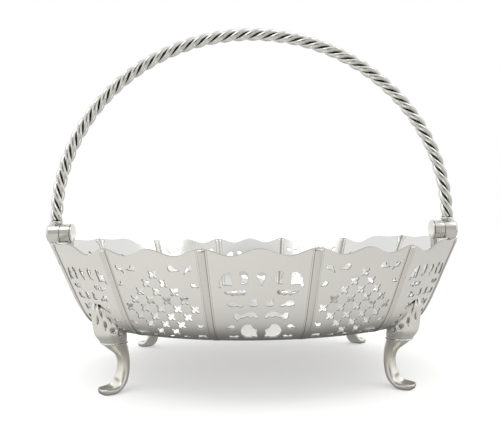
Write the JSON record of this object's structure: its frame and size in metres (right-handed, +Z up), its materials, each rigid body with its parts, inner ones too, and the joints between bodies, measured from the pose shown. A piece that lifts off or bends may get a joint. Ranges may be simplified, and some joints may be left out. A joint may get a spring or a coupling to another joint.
{
  "type": "swing-handle basket",
  "caption": "Oval pierced metal basket on four cabriole feet, with a rope-twist handle that swings on end hinges.",
  "frame": {"origin": "on the table, under the middle of the bowl", "axes": "+X along the oval's long axis and the hinge axis, +Y across the bowl, +Z up"},
  "size_m": [0.2768, 0.2424, 0.2283],
  "materials": {
    "pierced_wall": "polished silver sheet",
    "pilaster": "polished silver",
    "base": "polished silver plate",
    "knee": "cast and chased silver",
    "leg": "cast and polished silver",
    "hinge": "polished silver",
    "pin": "drawn silver pin",
    "rope": "twisted silver wire"
  },
  "bodies": {
    "basket": {"base": "base", "panel_01": "pierced_wall", "panel_02": "pierced_wall", "panel_03": "pierced_wall", "panel_04": "pierced_wall", "panel_05": "pierced_wall", "panel_06": "pierced_wall", "panel_07": "pierced_wall", "panel_08": "pierced_wall", "panel_09": "pierced_wall", "panel_10": "pierced_wall", "panel_11": "pierced_wall", "panel_12": "pierced_wall", "panel_13": "pierced_wall", "panel_14": "pierced_wall", "pilaster_01": "pilaster", "pilaster_02": "pilaster", "pilaster_03": "pilaster", "pilaster_04": "pilaster", "pilaster_05": "pilaster", "pilaster_06": "pilaster", "pilaster_07": "pilaster", "pilaster_08": "pilaster", "pilaster_09": "pilaster", "pilaster_10": "pilaster", "pilaster_11": "pilaster", "pilaster_12": "pilaster", "pilaster_13": "pilaster", "pilaster_14": "pilaster", "knee_1": "knee", "knee_2": "knee", "knee_3": "knee", "knee_4": "knee", "leg_1": "leg", "leg_2": "leg", "leg_3": "leg", "leg_4": "leg", "hinge_lug_left": "hinge", "hinge_lug_right": "hinge", "hinge_pin_left": "pin", "hinge_pin_right": "pin"},
    "handle": {"handle_end_left": "hinge", "handle_end_right": "hinge", "handle_strand_1": "rope", "handle_strand_2": "rope", "handle_strand_3": "rope"}
  },
  "joints": [
    {"name": "handle_swing", "type": "hinge", "parent": "basket", "child": "handle", "pos_m": [0, 0, 0.0895], "axis": [1, 0, 0], "range_deg": [-90, 90]}
  ]
}
